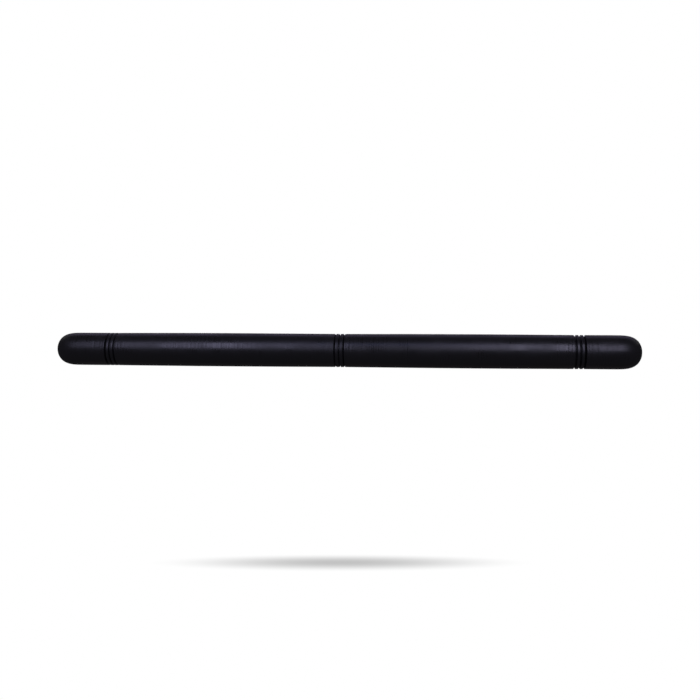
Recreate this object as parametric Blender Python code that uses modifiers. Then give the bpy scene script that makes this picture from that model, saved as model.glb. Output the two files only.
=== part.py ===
"""A devil stick: a wooden rod in a black rubber skin, with a push-on rubber cap over a screwed-on weight at
each end.

Run it with: blender --background --python part.py

Units are metres and +Z is up. The stick lies along X, and the origin is its balance point, half way along its
axis. Every piece is turned, so each is an outline spun once round by a Screw modifier. An outline is a list of
(radius, distance) pairs, where distance runs along the stick from the balance point to the tip. It goes down
the outer side, from the tip towards the balance point, and comes back up the inner side.
"""

import math

import bpy

# The whole stick
STICK_LENGTH = 0.600
STICK_RADIUS = 0.017
GAP = 0.0003  # between two pieces that touch on the real stick

# The turned grooves, in three groups of three. A groove's size is its (width, depth).
GROOVE_PITCH = 0.00454
CENTRE_GROOVE = (0.0017, 0.0013)
END_GROOVE = (0.0021, 0.0017)
TIP_TO_END_GROUP = 0.0608  # from the tip to the middle groove of an end group

# The rubber skin
SKIN_WALL = 0.003
SWELL = 0.0003  # how much fatter than STICK_RADIUS a sleeve grows between its groove groups
SWELL_SKEW = 1.13  # over 1, the fattest place is past the middle of the sleeve, towards the tip

# The end caps
DOME_LENGTH = 0.031
DOME_POWER = 4.3  # 2 is an ellipse, and a higher power a blunter dome
TIP_FLAT_RADIUS = 0.003
CAP_BORE_RADIUS = 0.0128
CAP_BORE_BEVEL = 0.002  # round the far end of the bore
HEAD_ROOM = 0.002  # between the screw's head and the end of the cap's bore
RIB_WIDTH = 0.002
RIB_COUNT = 3

# The rod's tenons and what is screwed onto them
TENON_RADIUS = 0.009
TENON_LENGTH = 0.024
WEIGHT_RADIUS = 0.012
WASHER_RADIUS = 0.011
WASHER_HOLE_RADIUS = 0.0025
WASHER_THICKNESS = 0.0015
CHAMFER = 0.0005
SCREW_RADIUS = 0.002
SCREW_LENGTH = 0.030
SCREW_POINT = 0.004
SCREW_HEAD_RADIUS = 0.004
SCREW_HEAD_HEIGHT = 0.0026
SCREW_HEAD_RIM = 0.0010  # the upright part of the head, below its dome
RECESS_LENGTH = 0.0044
RECESS_WIDTH = 0.0009
RECESS_DEPTH = 0.0016
PILOT_RADIUS = 0.0023
PILOT_DEPTH = 0.034

# Places along the stick, as distances from the balance point
TIP = STICK_LENGTH / 2
END_GROUP = TIP - TIP_TO_END_GROUP
SEAM = END_GROUP + GROOVE_PITCH  # an end group's outermost groove, where the cap meets the sleeve
SHOULDER = SEAM - GAP / 2
TENON_END = SHOULDER + TENON_LENGTH
WEIGHT_START = SHOULDER + GAP
WEIGHT_END = TENON_END + GAP  # stands proud of the tenon, so the washer bears on the weight
WASHER_START = WEIGHT_END + GAP
WASHER_END = WASHER_START + WASHER_THICKNESS
HEAD_START = WASHER_END + GAP
HEAD_END = HEAD_START + SCREW_HEAD_HEIGHT
CAP_BORE_END = HEAD_END + HEAD_ROOM

# Radii that follow from their neighbours
SKIN_BORE_RADIUS = STICK_RADIUS - SKIN_WALL
ROD_RADIUS = SKIN_BORE_RADIUS - GAP
RIB_RADIUS = WEIGHT_RADIUS + GAP

# How finely the turned pieces are cut
SEGMENTS = 48
SCREW_SEGMENTS = 24
SWELL_STEPS = 8
DOME_STEPS = 12
HEAD_STEPS = 4

# name: (colour, roughness, metallic)
FINISHES = {
    "black_rubber": ((0.012, 0.012, 0.014), 0.38, 0.0),
    "beech_wood": ((0.56, 0.38, 0.22), 0.60, 0.0),
    "zinc_plated_steel": ((0.60, 0.61, 0.62), 0.32, 1.0),
}

# side: the way its pieces point along X
SIDES = {"left": -1, "right": 1}


def clear_scene():
    for obj in list(bpy.data.objects):
        bpy.data.objects.remove(obj, do_unlink=True)


def new_collection(name):
    collection = bpy.data.collections.new(name)
    bpy.context.scene.collection.children.link(collection)
    return collection


def new_material(name):
    colour, roughness, metallic = FINISHES[name]
    material = bpy.data.materials.new(name)
    material.use_nodes = True
    shader = material.node_tree.nodes["Principled BSDF"]
    shader.inputs["Base Color"].default_value = (*colour, 1.0)
    shader.inputs["Roughness"].default_value = roughness
    shader.inputs["Metallic"].default_value = metallic
    return material


def turned_mesh(name, outline, loop, material, segments=SEGMENTS):
    """The outline spun once round Z. A loop closes on itself, as a ring's does. Otherwise both ends lie on the
    axis."""
    count = len(outline)
    points = [(radius, 0.0, distance) for radius, distance in outline]
    edges = [(i, (i + 1) % count) for i in range(count if loop else count - 1)]
    profile = bpy.data.meshes.new(name + "_outline")
    profile.from_pydata(points, edges, [])
    lathe = bpy.data.objects.new(name + "_lathe", profile)
    bpy.context.scene.collection.objects.link(lathe)
    screw = lathe.modifiers.new("turn", "SCREW")
    screw.axis = "Z"
    screw.steps = segments
    screw.render_steps = segments
    screw.use_merge_vertices = True
    screw.merge_threshold = 0.00001
    spun = lathe.evaluated_get(bpy.context.evaluated_depsgraph_get())
    mesh = bpy.data.meshes.new_from_object(spun)
    mesh.name = name
    bpy.data.objects.remove(lathe, do_unlink=True)
    bpy.data.meshes.remove(profile)
    mesh.shade_smooth()
    mesh.set_sharp_from_angle(angle=math.radians(30))
    mesh.materials.clear()
    mesh.materials.append(material)
    return mesh


def groove(distance, size):
    """The outline of one V-shaped groove with a narrow floor."""
    width, depth = size
    floor = STICK_RADIUS - depth
    return [
        (STICK_RADIUS, distance + width / 2),
        (floor, distance + GAP / 2),
        (floor, distance - GAP / 2),
        (STICK_RADIUS, distance - width / 2),
    ]


def ring_with_seams(inner_end, outer_end, outer_groove, outer_side):
    """The outline of a skin piece between two seams. A seam is a groove whose floor is the gap between two
    pieces. The seam at its inner end is a centre groove, and the one at its outer end is an outer_groove."""
    outer_seam = groove(outer_end, outer_groove)[2:]
    inner_seam = groove(inner_end, CENTRE_GROOVE)[:2]
    bore = [
        (SKIN_BORE_RADIUS, inner_end + GAP / 2),
        (SKIN_BORE_RADIUS, outer_end - GAP / 2),
    ]
    return outer_seam + outer_side + inner_seam + bore


def swell_outline(inner_end, outer_end):
    """The slightly fattened stretch of a sleeve, from its outer end to its inner end, with both ends left
    out."""
    points = []
    for step in range(SWELL_STEPS - 1, 0, -1):
        share = step / SWELL_STEPS
        radius = STICK_RADIUS + SWELL * math.sin(math.pi * share**SWELL_SKEW)
        points.append((radius, inner_end + share * (outer_end - inner_end)))
    return points


def sleeve_outline():
    last_groove = END_GROUP - GROOVE_PITCH
    swell_start = GROOVE_PITCH + CENTRE_GROOVE[0] / 2
    swell_end = last_groove - END_GROOVE[0] / 2
    grooves = groove(END_GROUP, END_GROOVE) + groove(last_groove, END_GROOVE)
    return ring_with_seams(GROOVE_PITCH, SEAM, END_GROOVE, grooves + swell_outline(swell_start, swell_end))


def centre_ring_outline():
    return ring_with_seams(-GROOVE_PITCH, GROOVE_PITCH, CENTRE_GROOVE, groove(0.0, CENTRE_GROOVE))


def dome_outline():
    """A superelliptic dome from the edge of its small tip flat down to full radius."""

    def rise(angle):
        return DOME_LENGTH * max(math.cos(angle), 0.0) ** (2 / DOME_POWER)

    flat_angle = math.asin(TIP_FLAT_RADIUS / STICK_RADIUS)
    base = TIP - rise(flat_angle)
    points = []
    for step in range(DOME_STEPS + 1):
        angle = flat_angle + (math.pi / 2 - flat_angle) * step / DOME_STEPS
        points.append((STICK_RADIUS * math.sin(angle), base + rise(angle)))
    return points


def grip_ribs():
    """Low ribs round the cap's bore that grip the weight, from the mouth inwards."""
    spacing = (WEIGHT_END - WEIGHT_START) / (RIB_COUNT + 1)
    points = []
    for number in range(1, RIB_COUNT + 1):
        distance = WEIGHT_START + number * spacing
        points.append((CAP_BORE_RADIUS, distance - RIB_WIDTH / 2))
        points.append((RIB_RADIUS, distance))
        points.append((CAP_BORE_RADIUS, distance + RIB_WIDTH / 2))
    return points


def cap_outline():
    mouth = SEAM + GAP / 2
    outer_side = [(0.0, TIP)] + dome_outline() + groove(SEAM, END_GROOVE)[:2]
    bore = [
        (CAP_BORE_RADIUS + CHAMFER, mouth),
        (CAP_BORE_RADIUS, mouth + CHAMFER),
        *grip_ribs(),
        (CAP_BORE_RADIUS, CAP_BORE_END - CAP_BORE_BEVEL),
        (CAP_BORE_RADIUS - CAP_BORE_BEVEL, CAP_BORE_END),
        (0.0, CAP_BORE_END),
    ]
    return outer_side + bore


def rod_outline():
    """The rod with a tenon and a blind pilot hole at each end. The second half is the first, mirrored."""
    hole_bottom = TENON_END - PILOT_DEPTH
    half = [
        (0.0, hole_bottom - PILOT_RADIUS),
        (PILOT_RADIUS, hole_bottom),
        (PILOT_RADIUS, TENON_END),
        (TENON_RADIUS - CHAMFER, TENON_END),
        (TENON_RADIUS, TENON_END - CHAMFER),
        (TENON_RADIUS, SHOULDER),
        (ROD_RADIUS - CHAMFER, SHOULDER),
        (ROD_RADIUS, SHOULDER - CHAMFER),
    ]
    return half + [(radius, -distance) for radius, distance in reversed(half)]


def flat_ring_outline(outer_radius, hole_radius, start, end):
    """A flat ring with chamfered outer edges."""
    return [
        (hole_radius, end),
        (outer_radius - CHAMFER, end),
        (outer_radius, end - CHAMFER),
        (outer_radius, start + CHAMFER),
        (outer_radius - CHAMFER, start),
        (hole_radius, start),
    ]


def screw_outline():
    """A pan-head wood screw, with its shank left plain."""
    dome_height = SCREW_HEAD_HEIGHT - SCREW_HEAD_RIM
    point = HEAD_START - SCREW_LENGTH
    outline = []
    for step in range(HEAD_STEPS + 1):
        angle = math.pi / 2 * step / HEAD_STEPS
        radius = SCREW_HEAD_RADIUS * math.sin(angle)
        outline.append((radius, HEAD_START + SCREW_HEAD_RIM + dome_height * math.cos(angle)))
    return outline + [
        (SCREW_HEAD_RADIUS, HEAD_START),
        (SCREW_RADIUS, HEAD_START),
        (SCREW_RADIUS, point + SCREW_POINT),
        (0.0, point),
    ]


def place(name, mesh, side, collection):
    """Lays a turned piece along the stick. Side 1 points its tip end at +X, and side -1 at -X."""
    piece = bpy.data.objects.new(name, mesh)
    piece.rotation_euler = (0.0, side * math.pi / 2, 0.0)
    collection.objects.link(piece)
    return piece


def cut_recess(screw, side, cutters):
    """Cuts a cross recess into a screw's head with two crossed bars."""
    for bar in ("upright", "level"):
        bpy.ops.mesh.primitive_cube_add(size=1.0)
        cutter = bpy.context.active_object
        cutter.name = f"{screw.name}_{bar}_bar"
        across = (RECESS_WIDTH, RECESS_LENGTH) if bar == "upright" else (RECESS_LENGTH, RECESS_WIDTH)
        cutter.scale = (2 * RECESS_DEPTH, *across)
        cutter.location = (side * HEAD_END, 0.0, 0.0)
        cutter.hide_render = True
        cutter.display_type = "WIRE"
        for collection in list(cutter.users_collection):
            collection.objects.unlink(cutter)
        cutters.objects.link(cutter)
        cut = screw.modifiers.new(bar + "_bar", "BOOLEAN")
        cut.operation = "DIFFERENCE"
        cut.object = cutter


def main():
    clear_scene()
    parts = new_collection("devil_stick")
    cutters = new_collection("cutters")
    rubber = new_material("black_rubber")
    wood = new_material("beech_wood")
    steel = new_material("zinc_plated_steel")

    rod = turned_mesh("core_rod", rod_outline(), False, wood)
    ring = turned_mesh("centre_ring", centre_ring_outline(), True, rubber)
    sleeve = turned_mesh("sleeve", sleeve_outline(), True, rubber)
    cap = turned_mesh("end_cap", cap_outline(), False, rubber)
    weight_outline = flat_ring_outline(WEIGHT_RADIUS, TENON_RADIUS + GAP, WEIGHT_START, WEIGHT_END)
    weight = turned_mesh("end_weight", weight_outline, True, steel)
    washer_outline = flat_ring_outline(WASHER_RADIUS, WASHER_HOLE_RADIUS, WASHER_START, WASHER_END)
    washer = turned_mesh("weight_washer", washer_outline, True, steel)
    screw = turned_mesh("weight_screw", screw_outline(), False, steel, SCREW_SEGMENTS)

    place("core_rod", rod, 1, parts)
    place("centre_ring", ring, 1, parts)
    for name, side in SIDES.items():
        place(name + "_sleeve", sleeve, side, parts)
        place(name + "_end_cap", cap, side, parts)
        place(name + "_end_weight", weight, side, parts)
        place(name + "_weight_washer", washer, side, parts)
        fixed_screw = place(name + "_weight_screw", screw, side, parts)
        cut_recess(fixed_screw, side, cutters)


main()
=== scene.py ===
"""The looks of the devil stick: finely turned meshes, procedural materials, the studio and the camera.

Units are metres. The stick lies along X with its balance point at the origin, and +Z is up. An outline is a
list of (distance, radius) pairs, where distance runs along the stick from the balance point to the tip.
Outlines are drawn for the right half, and the left half's pieces are the same ones turned end for end.
"""

import math

import bmesh
import bpy
from mathutils import Matrix, Vector, noise


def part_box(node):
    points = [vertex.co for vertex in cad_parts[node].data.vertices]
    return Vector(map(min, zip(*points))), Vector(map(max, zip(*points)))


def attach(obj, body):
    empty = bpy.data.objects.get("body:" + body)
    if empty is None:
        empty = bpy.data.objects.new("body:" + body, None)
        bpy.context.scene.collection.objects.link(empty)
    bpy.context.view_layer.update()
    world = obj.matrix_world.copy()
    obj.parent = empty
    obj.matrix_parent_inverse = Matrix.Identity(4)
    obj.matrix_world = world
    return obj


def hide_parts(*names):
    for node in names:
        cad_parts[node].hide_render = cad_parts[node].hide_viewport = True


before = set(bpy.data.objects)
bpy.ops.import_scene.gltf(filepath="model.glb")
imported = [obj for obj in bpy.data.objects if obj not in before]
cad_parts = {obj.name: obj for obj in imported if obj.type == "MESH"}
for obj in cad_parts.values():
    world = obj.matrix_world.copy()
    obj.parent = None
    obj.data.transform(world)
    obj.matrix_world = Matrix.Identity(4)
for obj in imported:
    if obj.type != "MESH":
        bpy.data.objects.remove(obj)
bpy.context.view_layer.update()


# ---------------------------------------------------------------- places, from the frame

rod_low, rod_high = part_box("core_rod")
ring_low, ring_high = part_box("centre_ring")
sleeve_low, sleeve_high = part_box("right_sleeve")
cap_low, cap_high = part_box("right_end_cap")
weight_low, weight_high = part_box("right_end_weight")
washer_low, washer_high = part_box("right_weight_washer")
screw_low, screw_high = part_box("right_weight_screw")

TIP = cap_high.x
RADIUS = ring_high.z
SWELL = sleeve_high.z - RADIUS
GAP = cap_low.x - sleeve_high.x
SEAM = (cap_low.x + sleeve_high.x) / 2  # the outermost groove of an end group, between cap and sleeve
PITCH = (ring_high.x + sleeve_low.x) / 2  # between grooves, and so the place of the centre ring's seams
LAST_GROOVE = SEAM - 2 * PITCH


# ---------------------------------------------------------------- sizes the frame doesn't give

CENTRE_GROOVE = (0.0017, 0.0013)  # width and depth
END_GROOVE = (0.0021, 0.0017)
LIP_RADIUS = 0.00025
GLUED_GAP = 0.00002  # between the centre ring and a sleeve, which the CAD keeps further apart

# Hair-thin rings that the lathe left beside the grooves
WITNESS_WIDTH = 0.0006
WITNESS_DEPTH = 0.00005
CAP_WITNESSES = (SEAM + 0.0034, SEAM + 0.0067, SEAM + 0.0120)
SLEEVE_WITNESSES = (PITCH + 0.0035, PITCH + 0.0077, LAST_GROOVE - 0.0075, LAST_GROOVE - 0.0040)

SKIN_BORE = 0.014
SWELL_SKEW = 1.13
SLEEVE_STEPS = 120

DOME_LENGTH = 0.031
DOME_POWER = 4.3
DOME_STEPS = 48
CAP_STEPS = 8  # in its straight part
TIP_FLAT = 0.003
CAP_BORE = 0.0128
CAP_BORE_END = screw_high.x + 0.002
CAP_BORE_BEVEL = 0.002
RIB_RADIUS = weight_high.z + GAP
RIB_WIDTH = 0.002
RIB_COUNT = 3

TENON_RADIUS = 0.009
PILOT_RADIUS = 0.0023
PILOT_BOTTOM = rod_high.x - 0.034
WASHER_HOLE = 0.0025
CHAMFER = 0.0005
EDGE_RADIUS = 0.0003

HEAD_RADIUS = screw_high.z
HEAD_RIM = 0.0010  # the upright part of the head, below its dome
HEAD_BEVEL = 0.0002
HEAD_STEPS = 16
HEAD_START = washer_high.x + GAP
SHANK_RADIUS = 0.002
SHANK_END = HEAD_START - 0.008  # where the thread starts
THREAD_ROOT = 0.0014
THREAD_PITCH = 0.0018
THREAD_CREST = 0.26  # half the width of the thread's base, as a share of the pitch
THREAD_STEPS = 14  # rows of the mesh in one pitch
POINT_LENGTH = 0.004
POINT_BLUNTNESS = 0.12  # how thick the very end is, as a share of the thread
RECESS_LENGTH = 0.0044
RECESS_WIDTH = 0.0009
RECESS_DEPTH = 0.0016
RECESS_TAPER = 0.55  # the size of the recess at its bottom, as a share of its size at the top
RECESS_TURN = math.radians(20)  # where the screw happened to stop

SOFT_BEND = math.radians(15)
SHARP_BEND = math.radians(35)
LONGEST_CUT = 0.45  # how much of a side one rounded corner may take
CORNER_STEPS = 4
WELD = 0.000002  # points of a turned mesh that are closer than this become one
SLIVER = 0.000003  # edges of a cut mesh that are shorter than this are dissolved
SEGMENTS = 192
STEEL_SEGMENTS = 128
SCREW_SEGMENTS = 48
WOBBLE = 0.00004  # how far the hand-turned surface strays from round
WOBBLE_SIZE = 0.03


# ---------------------------------------------------------------- turned meshes


def rounded(outline, radius, loop):
    """The outline with an arc at each corner. A corner between short sides gets a smaller arc, and a bend
    under SOFT_BEND is part of a curve and stays."""
    points = [Vector(point) for point in outline]
    count = len(points)
    result = []
    for index, corner in enumerate(points):
        if not loop and index in (0, count - 1):
            result.append(corner)
            continue
        back = points[index - 1] - corner
        ahead = points[(index + 1) % count] - corner
        bend = (-back).angle(ahead)
        if bend < SOFT_BEND:
            result.append(corner)
            continue
        cut = min(radius * math.tan(bend / 2), LONGEST_CUT * back.length, LONGEST_CUT * ahead.length)
        start = corner + back.normalized() * cut
        end = corner + ahead.normalized() * cut
        for step in range(CORNER_STEPS + 1):
            share = step / CORNER_STEPS
            result.append(start * (1 - share) ** 2 + corner * 2 * share * (1 - share) + end * share**2)
    return result


def stray(point, amount):
    """Moves a point in or out by a smooth random amount, so that the surface isn't perfectly round."""
    radial = Vector((0.0, point.y, point.z))
    if radial.length < TIP_FLAT:
        return point
    shift = noise.noise(point / WOBBLE_SIZE) * amount
    return point + radial.normalized() * shift


def finished(made, name, side, wobble=0.0):
    """Turns a bmesh into an object. Side -1 turns it end for end, to the left end of the stick."""
    if side < 0:
        half_turn = Matrix.Rotation(math.pi, 3, "Z")
        bmesh.ops.rotate(made, verts=made.verts, cent=(0.0, 0.0, 0.0), matrix=half_turn)
    if wobble:
        for vert in made.verts:
            vert.co = stray(vert.co, wobble)
    bmesh.ops.recalc_face_normals(made, faces=made.faces)
    mesh = bpy.data.meshes.new(name)
    made.to_mesh(mesh)
    made.free()
    mesh.shade_smooth()
    mesh.set_sharp_from_angle(angle=SHARP_BEND)
    piece = bpy.data.objects.new(name, mesh)
    bpy.context.scene.collection.objects.link(piece)
    return piece


def turned(name, outline, side, loop, segments=SEGMENTS, wobble=0.0):
    """A piece made by spinning an outline round the X axis. A loop closes on itself, as a ring's does."""
    made = bmesh.new()
    verts = [made.verts.new((distance, 0.0, radius)) for distance, radius in outline]
    edges = [made.edges.new(pair) for pair in zip(verts, verts[1:])]
    if loop:
        edges.append(made.edges.new((verts[-1], verts[0])))
    bmesh.ops.spin(
        made,
        geom=verts + edges,
        axis=(1.0, 0.0, 0.0),
        cent=(0.0, 0.0, 0.0),
        angle=math.tau,
        steps=segments,
        use_merge=True,
    )
    bmesh.ops.remove_doubles(made, verts=made.verts, dist=WELD)
    return finished(made, name, side, wobble)


# ---------------------------------------------------------------- the rubber pieces' outlines


def groove(distance, size, flat=GAP):
    """The V of one groove, from its far lip to its near lip. Its floor is as wide as flat."""
    width, depth = size
    floor = RADIUS - depth
    return [
        (distance + width / 2, RADIUS),
        (distance + flat / 2, floor),
        (distance - flat / 2, floor),
        (distance - width / 2, RADIUS),
    ]


def plain_stretch(near, far, steps, witnesses, radius_at):
    """The stretch between two grooves, from its far end to its near end, with both ends left out."""
    half = WITNESS_WIDTH / 2
    points = [(near + (far - near) * step / steps, 0.0) for step in range(1, steps)]
    points = [(place, cut) for place, cut in points if all(abs(place - ring) > half for ring in witnesses)]
    for ring in witnesses:
        points += [(ring - half, 0.0), (ring, WITNESS_DEPTH), (ring + half, 0.0)]
    return [(place, radius_at(place) - cut) for place, cut in sorted(points, reverse=True)]


def sleeve_outline():
    near = PITCH + CENTRE_GROOVE[0] / 2
    far = LAST_GROOVE - END_GROOVE[0] / 2

    def radius_at(place):
        share = (place - near) / (far - near)
        return RADIUS + SWELL * math.sin(math.pi * share**SWELL_SKEW)

    plain = plain_stretch(near, far, SLEEVE_STEPS, SLEEVE_WITNESSES, radius_at)
    end_group = groove(SEAM, END_GROOVE)[2:]
    end_group += groove(SEAM - PITCH, END_GROOVE)
    end_group += groove(LAST_GROOVE, END_GROOVE)
    outer = end_group + plain + groove(PITCH, CENTRE_GROOVE, GLUED_GAP)[:2]
    return outer + [(PITCH + GLUED_GAP / 2, SKIN_BORE), (sleeve_high.x, SKIN_BORE)]


def ring_outline():
    half = groove(PITCH, CENTRE_GROOVE, GLUED_GAP)[2:]
    outer = half + groove(0.0, CENTRE_GROOVE) + [(-distance, radius) for distance, radius in reversed(half)]
    side = PITCH - GLUED_GAP / 2
    return outer + [(-side, SKIN_BORE), (side, SKIN_BORE)]


def dome_outline():
    """A superelliptic dome from the edge of its small tip flat down to full radius."""

    def rise(angle):
        return DOME_LENGTH * max(math.cos(angle), 0.0) ** (2 / DOME_POWER)

    flat_angle = math.asin(TIP_FLAT / RADIUS)
    base = TIP - rise(flat_angle)
    points = []
    for step in range(DOME_STEPS + 1):
        angle = flat_angle + (math.pi / 2 - flat_angle) * step / DOME_STEPS
        points.append((base + rise(angle), RADIUS * math.sin(angle)))
    return points


def rib_outline():
    """The grip ribs round the cap's bore, from its mouth inwards."""
    spacing = (weight_high.x - weight_low.x) / (RIB_COUNT + 1)
    points = []
    for number in range(1, RIB_COUNT + 1):
        distance = weight_low.x + number * spacing
        points.append((distance - RIB_WIDTH / 2, CAP_BORE))
        points.append((distance, RIB_RADIUS))
        points.append((distance + RIB_WIDTH / 2, CAP_BORE))
    return points


def cap_outline():
    dome = dome_outline()
    near = SEAM + END_GROOVE[0] / 2
    plain = plain_stretch(near, dome[-1][0], CAP_STEPS, CAP_WITNESSES, lambda place: RADIUS)
    outer = [(TIP, 0.0)] + dome + plain + groove(SEAM, END_GROOVE)[:2]
    bore = [
        (cap_low.x, CAP_BORE + CHAMFER),
        (cap_low.x + CHAMFER, CAP_BORE),
        *rib_outline(),
        (CAP_BORE_END - CAP_BORE_BEVEL, CAP_BORE),
        (CAP_BORE_END, CAP_BORE - CAP_BORE_BEVEL),
        (CAP_BORE_END, 0.0),
    ]
    return outer + bore


# ---------------------------------------------------------------- the inner pieces' outlines


def rod_outline():
    """The wooden rod with its tenons and pilot holes. The second half is the first, mirrored."""
    shoulder = sleeve_high.x
    half = [
        (PILOT_BOTTOM - PILOT_RADIUS, 0.0),
        (PILOT_BOTTOM, PILOT_RADIUS),
        (rod_high.x, PILOT_RADIUS),
        (rod_high.x, TENON_RADIUS - CHAMFER),
        (rod_high.x - CHAMFER, TENON_RADIUS),
        (shoulder, TENON_RADIUS),
        (shoulder, rod_high.z - CHAMFER),
        (shoulder - CHAMFER, rod_high.z),
    ]
    return half + [(-distance, radius) for distance, radius in reversed(half)]


def flat_ring_outline(low, high, hole):
    """A flat ring with chamfered outer edges, filling a CAD box."""
    return [
        (high.x, hole),
        (high.x, high.z - CHAMFER),
        (high.x - CHAMFER, high.z),
        (low.x + CHAMFER, high.z),
        (low.x, high.z - CHAMFER),
        (low.x, hole),
    ]


# ---------------------------------------------------------------- the screws


def thread_radius(distance, turn):
    """The radius of the threaded part: a right-handed ridge round a core that narrows to the point."""
    phase = (distance / THREAD_PITCH - turn) % 1.0
    ridge = max(0.0, 1.0 - abs(phase - 0.5) / THREAD_CREST)
    start_fade = min(1.0, (SHANK_END - distance) / THREAD_PITCH)
    narrowing = min(1.0, POINT_BLUNTNESS + (distance - screw_low.x) / POINT_LENGTH)
    return (THREAD_ROOT + (SHANK_RADIUS - THREAD_ROOT) * ridge * start_fade) * narrowing


def screw_rows():
    """The screw's surface from its head to its point, as rows of (distance, radius of each vertex)."""

    def round_row(distance, radius):
        return distance, [radius] * SCREW_SEGMENTS

    dome_height = screw_high.x - HEAD_START - HEAD_RIM
    rows = []
    for step in range(1, HEAD_STEPS + 1):
        angle = math.pi / 2 * step / HEAD_STEPS
        height = HEAD_START + HEAD_RIM + dome_height * math.cos(angle)
        rows.append(round_row(height, HEAD_RADIUS * math.sin(angle)))
    rows.append(round_row(HEAD_START + HEAD_BEVEL, HEAD_RADIUS))
    rows.append(round_row(HEAD_START, HEAD_RADIUS - HEAD_BEVEL))
    rows.append(round_row(HEAD_START, SHANK_RADIUS))
    rows.append(round_row(SHANK_END + THREAD_PITCH, SHANK_RADIUS))
    count = round((SHANK_END - screw_low.x) / THREAD_PITCH * THREAD_STEPS)
    for step in range(count):
        distance = SHANK_END + (screw_low.x - SHANK_END) * step / count
        radii = [thread_radius(distance, segment / SCREW_SEGMENTS) for segment in range(SCREW_SEGMENTS)]
        rows.append((distance, radii))
    return rows


def screw_body():
    made = bmesh.new()
    rings = []
    for distance, radii in screw_rows():
        ring = []
        for segment, radius in enumerate(radii):
            angle = math.tau * segment / SCREW_SEGMENTS
            ring.append(made.verts.new((distance, radius * math.cos(angle), radius * math.sin(angle))))
        rings.append(ring)
    for ring, following in zip(rings, rings[1:]):
        for index in range(SCREW_SEGMENTS):
            after = (index + 1) % SCREW_SEGMENTS
            made.faces.new((ring[index], ring[after], following[after], following[index]))
    for ring, distance in ((rings[0], screw_high.x), (rings[-1], screw_low.x)):
        centre = made.verts.new((distance, 0.0, 0.0))
        for index in range(SCREW_SEGMENTS):
            made.faces.new((ring[index], ring[(index + 1) % SCREW_SEGMENTS], centre))
    return made


def cross_section(length, width):
    """The twelve corners of a cross, in order round it."""
    arm = length / 2
    half = width / 2
    quarter = [(arm, -half), (arm, half), (half, half)]
    corners = []
    for turn in range(4):
        angle = RECESS_TURN + turn * math.pi / 2
        corners += [Matrix.Rotation(angle, 2) @ Vector(corner) for corner in quarter]
    return corners


def recess_cutter():
    """A cross that narrows as it goes into the head."""
    made = bmesh.new()
    top = screw_high.x + RECESS_DEPTH
    bottom = screw_high.x - RECESS_DEPTH
    rings = []
    for distance, scale in ((top, 2.0 - RECESS_TAPER), (bottom, RECESS_TAPER)):
        corners = cross_section(RECESS_LENGTH * scale, RECESS_WIDTH * scale)
        rings.append([made.verts.new((distance, across, up)) for across, up in corners])
    count = len(rings[0])
    for index in range(count):
        after = (index + 1) % count
        made.faces.new((rings[0][index], rings[0][after], rings[1][after], rings[1][index]))
    made.faces.new(rings[0])
    made.faces.new(list(reversed(rings[1])))
    return made


def screw(name, side):
    """The recess is cut at the right end of the stick, whatever the side, so the two screws are alike."""
    body = finished(screw_body(), name + "_body", 1)
    cutter = finished(recess_cutter(), name + "_cutter", 1)
    cut = body.modifiers.new("recess", "BOOLEAN")
    cut.operation = "DIFFERENCE"
    cut.object = cutter
    made = bmesh.new()
    made.from_object(body, bpy.context.evaluated_depsgraph_get())
    for helper in (body, cutter):
        bpy.data.objects.remove(helper, do_unlink=True)
    bmesh.ops.dissolve_degenerate(made, dist=SLIVER, edges=made.edges)
    return finished(made, name, side)


# ---------------------------------------------------------------- materials

NOISE_RANGE = (0.3, 0.7)  # most of a noise's values lie in it
NONE_TO_ALL = (0.0, 1.0)

# A pair holds the value where a noise is low and the value where it is high.
RUBBER_COLOURS = ((0.0044, 0.0042, 0.0046), (0.0060, 0.0058, 0.0066))
RUBBER_ROUGHNESS = (0.47, 0.265)
RUBBER_BUMP = 0.000008
MARK_STRENGTH = (0.15, 0.6)  # of the turning marks in the rubber's sheen
SCUFF_REACH = 0.016  # from the tip
SCUFF_COLOUR = (0.020, 0.020, 0.021)
SCUFF_DUST = 0.5  # how much of that colour shows where the rubber is most scuffed
SCUFF_ROUGHNESS = 0.12  # added there

WOOD_COLOURS = ((0.46, 0.29, 0.15), (0.66, 0.47, 0.29))
WOOD_ROUGHNESS = (0.68, 0.52)
WOOD_BUMP = 0.00006
FLECK_COLOUR = (0.30, 0.16, 0.08)
FLECK_STRENGTH = 0.6

WEIGHT_TINT = (0.62, 0.63, 0.65)
FASTENER_TINT = (0.68, 0.67, 0.62)
CLOUD_DIMMING = 0.72  # of the plating's tint
SPOT_ROUGHNESS = 0.16  # added in the plating's dull spots
STEEL_BUMP = 0.00001

# A Mix node's sockets for colours
MIX_FACTOR = 0
MIX_COLOUR_A = 6
MIX_COLOUR_B = 7
MIX_COLOUR_RESULT = 2


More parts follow.
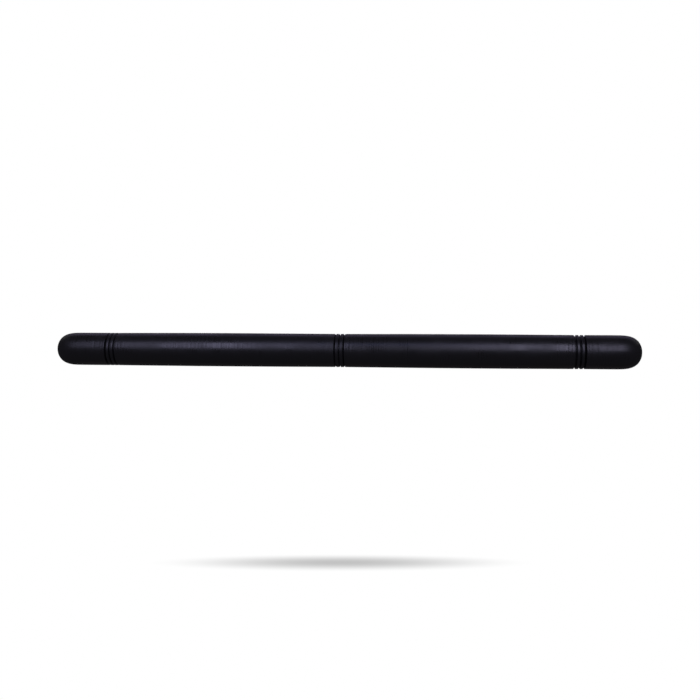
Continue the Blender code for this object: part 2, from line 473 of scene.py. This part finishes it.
class Nodes:
    """Builds a material's node tree in few words."""

    def __init__(self, name):
        self.material = bpy.data.materials.new(name)
        self.material.use_nodes = True
        self.tree = self.material.node_tree
        self.shader = self.tree.nodes["Principled BSDF"]

    def add(self, kind, **settings):
        node = self.tree.nodes.new("ShaderNode" + kind)
        for key, value in settings.items():
            if hasattr(node, key):
                setattr(node, key, value)
            else:
                node.inputs[key.replace("_", " ").title()].default_value = value
        return node

    def link(self, source, node, socket):
        self.tree.links.new(source, node.inputs[socket])

    def math(self, operation, *values):
        node = self.add("Math", operation=operation)
        for index, value in enumerate(values):
            if isinstance(value, (int, float)):
                node.inputs[index].default_value = value
            else:
                self.tree.links.new(value, node.inputs[index])
        return node.outputs[0]

    def remap(self, source, given, wanted):
        """Stretches the given range of values to the wanted one, and clamps what lies outside it."""
        node = self.add("MapRange", from_min=given[0], from_max=given[1], to_min=wanted[0], to_max=wanted[1])
        self.link(source, node, "Value")
        return node.outputs["Result"]

    def noise(self, vector, frequency, detail=2.0, roughness=0.6):
        """Noise between 0 and 1. Frequency, per metre, is a number or (x, y, z)."""
        scale = frequency if isinstance(frequency, tuple) else (frequency,) * 3
        mapping = self.add("Mapping")
        mapping.inputs["Scale"].default_value = scale
        self.link(vector, mapping, "Vector")
        texture = self.add("TexNoise", scale=1.0, detail=detail, roughness=roughness)
        self.link(mapping.outputs[0], texture, "Vector")
        return texture.outputs["Fac"]

    def blend_colours(self, source, colours):
        """Goes from the first colour to the second as a noise rises through its usual range."""
        ramp = self.add("ValToRGB")
        for stop, position, colour in zip(ramp.color_ramp.elements, NOISE_RANGE, colours):
            stop.position = position
            stop.color = (*colour, 1.0)
        self.link(source, ramp, "Fac")
        return ramp.outputs["Color"]

    def tinted(self, colour, factor, tint):
        """The colour where the factor is 0, and the tint where it is 1."""
        node = self.add("Mix", data_type="RGBA")
        self.link(factor, node, MIX_FACTOR)
        self.link(colour, node, MIX_COLOUR_A)
        node.inputs[MIX_COLOUR_B].default_value = (*tint, 1.0)
        return node.outputs[MIX_COLOUR_RESULT]

    def places(self):
        """The object's coordinates, and the same as (distance along the stick, distance from its axis, 0)."""
        place = self.add("TexCoord").outputs["Object"]
        parts = self.add("SeparateXYZ")
        self.link(place, parts, "Vector")
        across = self.math("POWER", parts.outputs["Y"], 2.0)
        up = self.math("POWER", parts.outputs["Z"], 2.0)
        radial = self.math("SQRT", self.math("ADD", across, up))
        turned_place = self.add("CombineXYZ")
        self.link(parts.outputs["X"], turned_place, "X")
        self.link(radial, turned_place, "Y")
        return place, turned_place.outputs["Vector"]

    def bump(self, height, distance):
        node = self.add("Bump", strength=1.0, distance=distance)
        self.link(height, node, "Height")
        self.link(node.outputs["Normal"], self.shader, "Normal")


def rubber(name):
    """Satin black rubber off a lathe: fine rings, clouds of duller and brighter sheen, scuffed tips."""
    made = Nodes(name)
    place, turned_place = made.places()

    clouds = made.noise(place, (38.0, 60.0, 60.0), detail=4.0)
    marks = made.noise(turned_place, 700.0, roughness=0.7)
    mark_clouds = made.noise(place, (40.0, 60.0, 60.0), detail=1.0)
    grain = made.noise(place, 2600.0)

    # the tips are scuffed from being dropped and stood on the floor
    length = made.add("SeparateXYZ")
    made.link(place, length, "Vector")
    distance = made.math("ABSOLUTE", length.outputs["X"])
    near_tip = made.remap(distance, (TIP - SCUFF_REACH, TIP), NONE_TO_ALL)
    scuffs = made.noise(place, 420.0, detail=5.0, roughness=0.75)
    scuffed = made.math("MULTIPLY", near_tip, made.remap(scuffs, (0.48, 0.66), NONE_TO_ALL))

    mark_strength = made.remap(mark_clouds, (0.35, 0.65), MARK_STRENGTH)
    marking = made.math("MULTIPLY", made.math("SUBTRACT", marks, 0.5), mark_strength)
    sheen = made.math("ADD", made.remap(clouds, NOISE_RANGE, RUBBER_ROUGHNESS), marking)
    wear = made.math("MULTIPLY", scuffed, SCUFF_ROUGHNESS)
    made.link(made.math("ADD", sheen, wear), made.shader, "Roughness")

    clean = made.blend_colours(clouds, RUBBER_COLOURS)
    dusty = made.tinted(clean, made.math("MULTIPLY", scuffed, SCUFF_DUST), SCUFF_COLOUR)
    made.link(dusty, made.shader, "Base Color")

    height = made.math("ADD", made.math("MULTIPLY", marks, 0.6), made.math("MULTIPLY", grain, 0.4))
    made.bump(height, RUBBER_BUMP)
    return made.material


def wood(name):
    """Pale beech: straight grain along the stick, short dark flecks, and turning marks."""
    made = Nodes(name)
    place, turned_place = made.places()
    grain = made.noise(place, (6.0, 260.0, 260.0), detail=5.0, roughness=0.65)
    flecks = made.noise(place, (160.0, 1500.0, 1500.0))
    marks = made.noise(turned_place, 900.0)
    plain = made.blend_colours(grain, WOOD_COLOURS)
    flecked = made.tinted(plain, made.remap(flecks, (0.60, 0.70), (0.0, FLECK_STRENGTH)), FLECK_COLOUR)
    made.link(flecked, made.shader, "Base Color")
    made.link(made.remap(grain, NOISE_RANGE, WOOD_ROUGHNESS), made.shader, "Roughness")
    height = made.math("ADD", made.math("MULTIPLY", grain, 0.6), made.math("MULTIPLY", marks, 0.4))
    made.bump(height, WOOD_BUMP)
    return made.material


def steel(name, tint, roughness, ring_frequency):
    """Zinc-plated steel with rings from turning or stamping, a cloudy plating and a few dull spots. Roughness
    is a pair, and from ring to ring it varies between the two."""
    made = Nodes(name)
    place, turned_place = made.places()
    rings = made.noise(turned_place, ring_frequency, detail=3.0, roughness=0.7)
    clouds = made.noise(place, 180.0, detail=3.0)
    spots = made.noise(place, 900.0, detail=4.0, roughness=0.7)
    dull = tuple(CLOUD_DIMMING * channel for channel in tint)
    made.link(made.blend_colours(clouds, (dull, tint)), made.shader, "Base Color")
    worn = made.remap(spots, (0.58, 0.72), (0.0, SPOT_ROUGHNESS))
    base = made.remap(rings, NOISE_RANGE, roughness)
    made.link(made.math("ADD", base, worn), made.shader, "Roughness")
    made.shader.inputs["Metallic"].default_value = 1.0
    made.bump(rings, STEEL_BUMP)
    return made.material


# ---------------------------------------------------------------- pieces


def dress(piece, material, body, node):
    """Gives a piece its material, hangs it on the empty of the body it rides on, and hides the CAD node it
    stands for.
    """
    piece.data.materials.append(material)
    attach(piece, body)
    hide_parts(node)


skin_rubber = rubber("turned_skin_rubber")
cap_rubber = rubber("turned_cap_rubber")
core_wood = wood("turned_beech")
weight_steel = steel("turned_weight_steel", WEIGHT_TINT, roughness=(0.24, 0.38), ring_frequency=2200.0)
fastener_steel = steel("plated_fastener_steel", FASTENER_TINT, roughness=(0.20, 0.34), ring_frequency=1200.0)

rod_shape = rounded(rod_outline(), EDGE_RADIUS, loop=False)
ring_shape = rounded(ring_outline(), LIP_RADIUS, loop=True)
sleeve_shape = rounded(sleeve_outline(), LIP_RADIUS, loop=True)
cap_shape = rounded(cap_outline(), LIP_RADIUS, loop=False)
weight_shape = rounded(flat_ring_outline(weight_low, weight_high, TENON_RADIUS + GAP), EDGE_RADIUS, loop=True)
washer_shape = rounded(flat_ring_outline(washer_low, washer_high, WASHER_HOLE), EDGE_RADIUS, loop=True)

rod = turned("core_rod_wood", rod_shape, 1, loop=False)
dress(rod, core_wood, "stick", "core_rod")
ring = turned("centre_ring_skin", ring_shape, 1, loop=True, wobble=WOBBLE)
dress(ring, skin_rubber, "stick", "centre_ring")
outer_pieces = [ring]
inner_pieces = [rod]

for side_name, side in (("left", -1), ("right", 1)):
    sleeve = turned(side_name + "_sleeve_skin", sleeve_shape, side, loop=True, wobble=WOBBLE)
    dress(sleeve, skin_rubber, "stick", side_name + "_sleeve")
    cap = turned(side_name + "_cap_skin", cap_shape, side, loop=False, wobble=WOBBLE)
    dress(cap, cap_rubber, side_name + "_cap", side_name + "_end_cap")
    weight = turned(side_name + "_weight_collar", weight_shape, side, loop=True, segments=STEEL_SEGMENTS)
    dress(weight, weight_steel, "stick", side_name + "_end_weight")
    washer = turned(side_name + "_washer_plate", washer_shape, side, loop=True, segments=STEEL_SEGMENTS)
    dress(washer, fastener_steel, "stick", side_name + "_weight_washer")
    fixing = screw(side_name + "_threaded_screw", side)
    dress(fixing, fastener_steel, "stick", side_name + "_weight_screw")
    outer_pieces += [sleeve, cap]
    inner_pieces += [weight, washer, fixing]


# ---------------------------------------------------------------- studio

SENSOR = 36.0
LENS = 44.74
CAMERA_DISTANCE = 0.892
CAMERA_YAW = math.radians(5.9)
CAMERA_RISE = math.radians(3.65)
CAMERA_AIM = (0.0098, 0.0005)  # how far right of and above the balance point the camera looks

FLOOR_DROP = 0.2213
FLOOR_SIZE = 12.0
SHADOW_LENGTH = 0.205  # half of it
SHADOW_DEPTH = 0.031  # half of it
SHADOW_DARKNESS = 0.46

# The dim glow from all round, weaker from behind. It changes where a direction's y is within GLOW_FADE of 0.
GLOW_COLOUR = (1.0, 0.96, 1.12)
GLOW_IN_FRONT = 0.088
GLOW_BEHIND = 0.055
GLOW_FADE = 0.3

LIGHT_DISTANCE = 1.0  # of the soft boxes, from the stick's axis

# Lights beyond an end of the stick: (place, size, radiance), for the right end
TIP_LIGHT = ((1.1, 0.55, 0.75), 0.5, 0.32)
BENCH_END_LIGHT = ((1.2, 0.0, 0.0), 1.4, 0.5)


def add_camera():
    data = bpy.data.cameras.new("camera")
    data.sensor_width = SENSOR
    data.lens = LENS
    camera = bpy.data.objects.new("camera", data)
    bpy.context.scene.collection.objects.link(camera)
    right = Vector((math.cos(CAMERA_YAW), math.sin(CAMERA_YAW), 0.0))
    back = Vector(
        (
            math.sin(CAMERA_YAW) * math.cos(CAMERA_RISE),
            -math.cos(CAMERA_YAW) * math.cos(CAMERA_RISE),
            math.sin(CAMERA_RISE),
        )
    )
    camera.location = right * CAMERA_AIM[0] + back.cross(right) * CAMERA_AIM[1] + back * CAMERA_DISTANCE
    camera.rotation_euler = (-back).to_track_quat("-Z", "Y").to_euler()
    bpy.context.scene.camera = camera


def softbox(name, x_range, spread, turn, radiance):
    """A glowing rectangle that faces the stick's axis. turn is its angle round the axis: 0 is level in front,
    90 is overhead and 180 is level behind. spread is the angle it fills, and radiance is (r, g, b). Returns
    the light."""
    angle = math.radians(turn)
    out = Vector((0.0, -math.cos(angle), math.sin(angle)))
    up = Vector((0.0, math.sin(angle), math.cos(angle)))
    width = x_range[1] - x_range[0]
    height = 2 * LIGHT_DISTANCE * math.tan(math.radians(spread / 2))
    strongest = max(radiance)
    data = bpy.data.lights.new(name, "AREA")
    data.shape = "RECTANGLE"
    data.size = width
    data.size_y = height
    data.energy = strongest * math.pi * width * height
    data.color = tuple(channel / strongest for channel in radiance)
    light = bpy.data.objects.new(name, data)
    light.matrix_world = Matrix((up.cross(out), up, out)).transposed().to_4x4()
    light.location = out * LIGHT_DISTANCE + Vector((sum(x_range) / 2, 0.0, 0.0))
    light.visible_camera = False
    bpy.context.scene.collection.objects.link(light)
    return light


def end_light(name, side, settings):
    """A square light beyond one end of the stick that faces the balance point. Returns the light."""
    place, size, radiance = settings
    data = bpy.data.lights.new(name, "AREA")
    data.size = size
    data.energy = radiance * math.pi * size**2
    light = bpy.data.objects.new(name, data)
    light.location = (side * place[0], place[1], place[2])
    light.rotation_euler = light.location.to_track_quat("Z", "Y").to_euler()
    light.visible_camera = False
    bpy.context.scene.collection.objects.link(light)
    return light


def light_only(light, pieces):
    """Keeps a light's glow to some pieces. Black rubber needs far more light than the steel and the wood."""
    receivers = bpy.data.collections.new(light.name + "_receivers")
    for piece in pieces:
        receivers.objects.link(piece)
    light.light_linking.receiver_collection = receivers


def add_world():
    """White to the camera, and a dim glow to everything else, dimmer from behind."""
    world = bpy.data.worlds.new("studio")
    world.use_nodes = True
    tree = world.node_tree
    shown = tree.nodes["Background"]
    shown.inputs["Color"].default_value = (1.0, 1.0, 1.0, 1.0)
    dim = tree.nodes.new("ShaderNodeBackground")
    dim.inputs["Color"].default_value = (*GLOW_COLOUR, 1.0)
    direction = tree.nodes.new("ShaderNodeTexCoord")
    depth = tree.nodes.new("ShaderNodeSeparateXYZ")
    fade = tree.nodes.new("ShaderNodeMapRange")
    fade.inputs["From Min"].default_value = -GLOW_FADE
    fade.inputs["From Max"].default_value = GLOW_FADE
    fade.inputs["To Min"].default_value = GLOW_IN_FRONT
    fade.inputs["To Max"].default_value = GLOW_BEHIND
    tree.links.new(direction.outputs["Generated"], depth.inputs["Vector"])
    tree.links.new(depth.outputs["Y"], fade.inputs["Value"])
    tree.links.new(fade.outputs["Result"], dim.inputs["Strength"])
    path = tree.nodes.new("ShaderNodeLightPath")
    mix = tree.nodes.new("ShaderNodeMixShader")
    tree.links.new(path.outputs["Is Camera Ray"], mix.inputs["Fac"])
    tree.links.new(dim.outputs[0], mix.inputs[1])
    tree.links.new(shown.outputs[0], mix.inputs[2])
    tree.links.new(mix.outputs[0], tree.nodes["World Output"].inputs["Surface"])
    bpy.context.scene.world = world


def add_floor():
    """A white floor with a soft, thin painted shadow, an ellipse drawn into its glow that lies level in the
    picture. It can't be seen from below, and lights nothing."""
    bpy.ops.mesh.primitive_plane_add(size=FLOOR_SIZE, location=(0.0, 0.0, -FLOOR_DROP))
    floor = bpy.context.active_object
    floor.name = "floor"
    made = Nodes("floor")
    made.tree.nodes.remove(made.shader)
    place = made.add("TexCoord").outputs["Object"]
    # The painted shadow: an ellipse under the stick, turned by CAMERA_YAW, darkest at its middle and fading
    # to its rim
    shrink = made.add("Mapping", vector_type="TEXTURE")
    shrink.inputs["Rotation"].default_value = (0.0, 0.0, CAMERA_YAW)
    shrink.inputs["Scale"].default_value = (SHADOW_LENGTH, SHADOW_DEPTH, 1.0)
    made.link(place, shrink, "Vector")
    reach = made.add("VectorMath", operation="LENGTH")
    made.link(shrink.outputs[0], reach, 0)
    reach_squared = made.math("POWER", reach.outputs["Value"], 2.0)
    inside = made.math("MAXIMUM", made.math("SUBTRACT", 1.0, reach_squared), 0.0)
    painted_shadow = made.math("MULTIPLY", made.math("POWER", inside, 2.0), SHADOW_DARKNESS)
    glow = made.add("Emission")
    made.link(made.math("SUBTRACT", 1.0, painted_shadow), glow, "Color")
    clear = made.add("BsdfTransparent")
    mix = made.add("MixShader")
    made.link(made.add("NewGeometry").outputs["Backfacing"], mix, "Fac")
    made.link(glow.outputs[0], mix, 1)
    made.link(clear.outputs[0], mix, 2)
    made.link(mix.outputs[0], made.tree.nodes["Material Output"], "Surface")
    floor.data.materials.append(made.material)
    floor.visible_diffuse = False
    floor.visible_glossy = False
    floor.visible_shadow = False


add_camera()
add_world()
add_floor()

key_left = softbox("key_left", x_range=(-0.60, -0.22), spread=38, turn=33, radiance=(2.35, 2.28, 3.45))
key_right = softbox("key_right", x_range=(0.24, 0.49), spread=38, turn=33.5, radiance=(4.15, 3.95, 5.6))
back = softbox("back", x_range=(-0.7, 0.7), spread=16, turn=180, radiance=(3.0, 2.95, 3.4))
for light in (key_left, key_right, back):
    light_only(light, outer_pieces)
softbox("fill", x_range=(-0.22, 0.22), spread=20, turn=47, radiance=(0.26, 0.30, 0.62))
softbox("top_back", x_range=(-0.9, 0.9), spread=28, turn=133, radiance=(0.30, 0.26, 0.42))
softbox("low_back", x_range=(-0.9, 0.9), spread=12, turn=246, radiance=(0.05, 0.03, 0.03))

bench_front = softbox("bench_front", x_range=(-0.9, 0.9), spread=60, turn=30, radiance=(1.0, 1.0, 1.0))
bench_back = softbox("bench_back", x_range=(-0.9, 0.9), spread=60, turn=140, radiance=(0.8, 0.8, 0.8))
for light in (bench_front, bench_back):
    light_only(light, inner_pieces)
for side_name, side in (("left", -1), ("right", 1)):
    end_light(side_name + "_tip_light", side, TIP_LIGHT)
    light_only(end_light(side_name + "_bench_end", side, BENCH_END_LIGHT), inner_pieces)

bpy.context.scene.view_settings.view_transform = "Standard"
